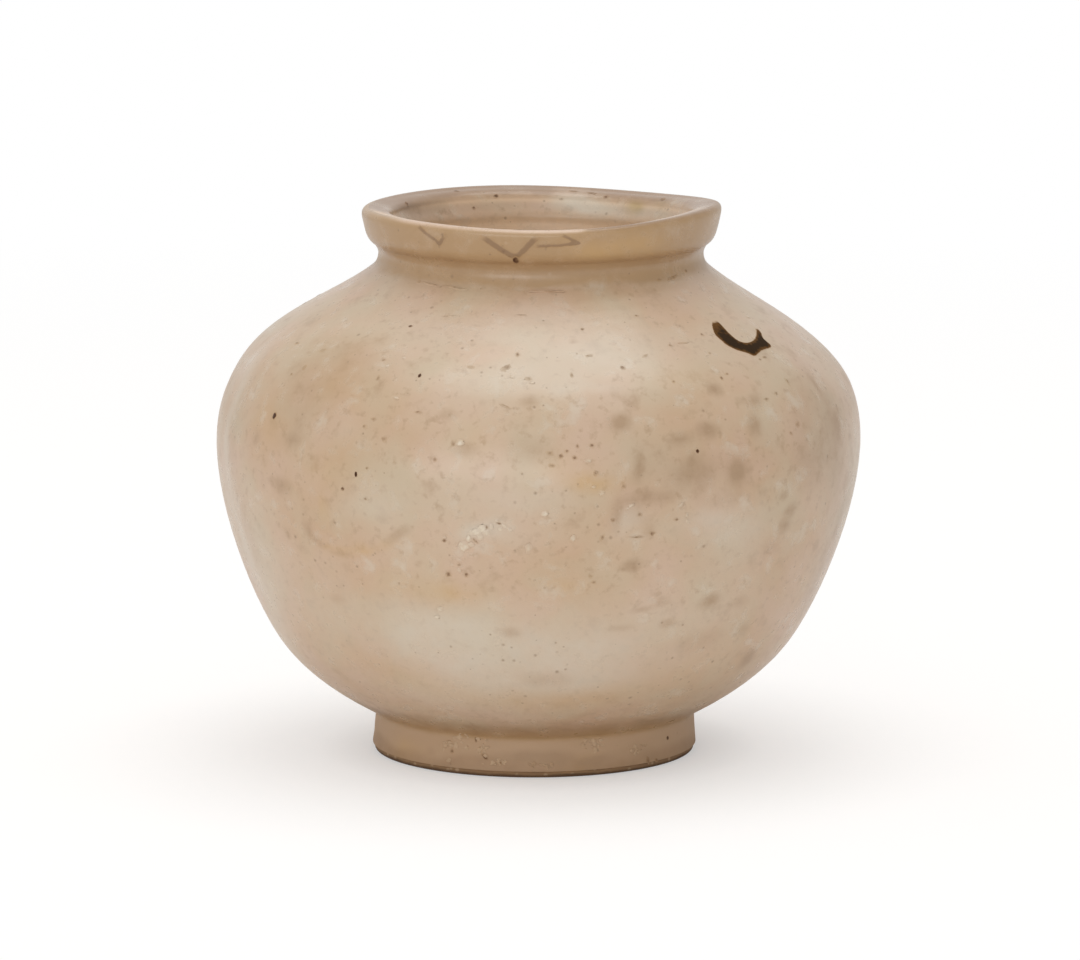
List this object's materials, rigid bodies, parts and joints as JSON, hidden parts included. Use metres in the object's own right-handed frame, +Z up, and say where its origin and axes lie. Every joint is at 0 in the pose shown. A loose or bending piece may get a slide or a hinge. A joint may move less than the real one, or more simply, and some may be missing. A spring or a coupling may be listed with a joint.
{
  "type": "jar",
  "caption": "Small round-bellied stoneware jar with an everted rolled rim, short neck and low foot ring, glazed inside and out, for holding dry food, oil or small things.",
  "frame": {"origin": "on the table under the middle of the belly", "axes": "+Z up through the mouth, +X to the right of the painted front, +Y to the back"},
  "size_m": [0.12, 0.12, 0.103],
  "materials": {
    "foot_clay": "bare fired stoneware, brown, dry and matt, with kiln grit",
    "body_clay": "fired buff stoneware, matt, hidden under the glaze",
    "luting_slip": "fired slip of the same clay, matt",
    "outer_glaze": "warm buff ash glaze, satin to glossy, mottled, pinholed and specked with iron",
    "inner_glaze": "the same glaze, thinner and browner, glossy",
    "dark_iron_paint": "near-black iron-brown brush paint, satin",
    "thin_iron_paint": "thin faded iron-brown brush paint under the glaze"
  },
  "bodies": {
    "root": {"foot_ring": "foot_clay", "foot_slip": "luting_slip", "lower_body": "body_clay", "belly_slip": "luting_slip", "upper_body": "body_clay", "neck_slip": "luting_slip", "neck_collar": "body_clay", "rim_slip": "luting_slip", "mouth_rim": "body_clay", "outer_glaze": "outer_glaze", "inner_glaze": "inner_glaze", "iron_crescent": "dark_iron_paint", "rim_stroke_left": "thin_iron_paint", "rim_stroke_middle": "thin_iron_paint", "rim_stroke_right": "thin_iron_paint"}
  },
  "joints": []
}
